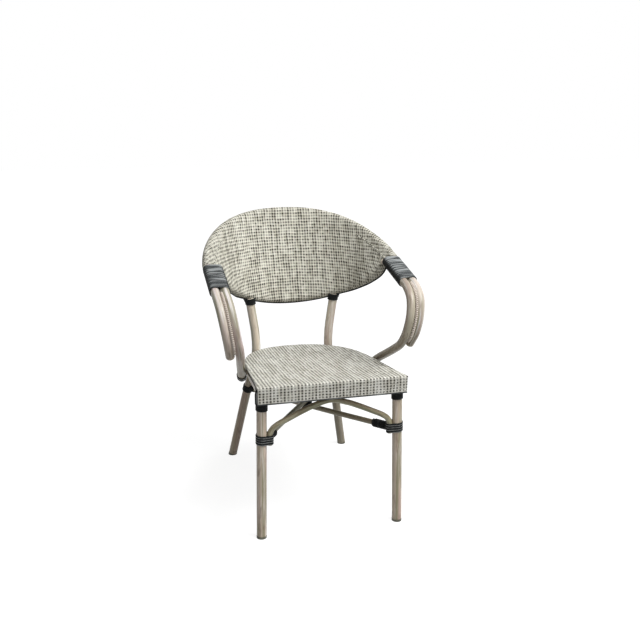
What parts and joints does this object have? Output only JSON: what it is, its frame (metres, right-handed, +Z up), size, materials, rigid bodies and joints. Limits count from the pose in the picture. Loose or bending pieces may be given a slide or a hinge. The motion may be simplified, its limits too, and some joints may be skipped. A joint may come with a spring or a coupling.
{
  "type": "bistro armchair",
  "caption": "Bistro armchair: bent tubes painted to look like bamboo, wound black cord at the joints, D-shaped woven cloth seat and a wrap-round woven cloth back",
  "frame": {"origin": "on the floor under the middle of the chair's bounding box", "axes": "+X to the right seen from the front, -Y the way the sitter faces, +Z up"},
  "size_m": [0.6046, 0.6604, 0.8449],
  "materials": {
    "bamboo_paint": "satin, mottled grey-brown like weathered bamboo",
    "black_cord": "satin wound cord",
    "woven_cloth": "flecked two-tone open weave",
    "piping_cloth": "matt dark piping",
    "black_plastic": "matt moulded",
    "bare_metal": "mill finish"
  },
  "bodies": {
    "root": {"front_rail": "bamboo_paint", "seat_rail": "bamboo_paint", "front_leg_right": "bamboo_paint", "front_leg_left": "bamboo_paint", "rear_leg_right": "bamboo_paint", "rear_leg_left": "bamboo_paint", "arm_tube_right": "bamboo_paint", "arm_tube_left": "bamboo_paint", "back_hoop": "bamboo_paint", "arm_end_plug_right": "bamboo_paint", "arm_end_plug_left": "bamboo_paint", "arm_bead_right": "bamboo_paint", "arm_bead_left": "bamboo_paint", "back_rail": "bamboo_paint", "front_arch": "bamboo_paint", "brace_right": "bamboo_paint", "brace_left": "bamboo_paint", "front_collar_right": "black_cord", "front_collar_left": "black_cord", "rear_collar_right": "black_cord", "rear_collar_left": "black_cord", "post_collar_right": "black_cord", "post_collar_left": "black_cord", "brace_lashing": "black_cord", "arm_wrap_right": "black_cord", "arm_wrap_left": "black_cord", "leg_binding_right": "black_cord", "leg_binding_left": "black_cord", "brace_wrap_right": "black_cord", "brace_wrap_left": "black_cord", "seat_cover": "woven_cloth", "back_cover": "woven_cloth", "back_sleeve_top": "woven_cloth", "back_sleeve_bottom": "woven_cloth", "seat_piping": "piping_cloth", "back_piping": "piping_cloth", "front_rail_cap_right": "black_plastic", "front_rail_cap_left": "black_plastic", "front_glide_right": "black_plastic", "front_glide_left": "black_plastic", "rear_glide_right": "black_plastic", "rear_glide_left": "black_plastic", "arm_foot_cap_right": "black_plastic", "arm_foot_cap_left": "black_plastic", "seat_screw_1_right": "bare_metal", "seat_screw_1_left": "bare_metal", "seat_screw_2_right": "bare_metal", "seat_screw_2_left": "bare_metal", "seat_panel_frame": "bare_metal"}
  },
  "joints": []
}
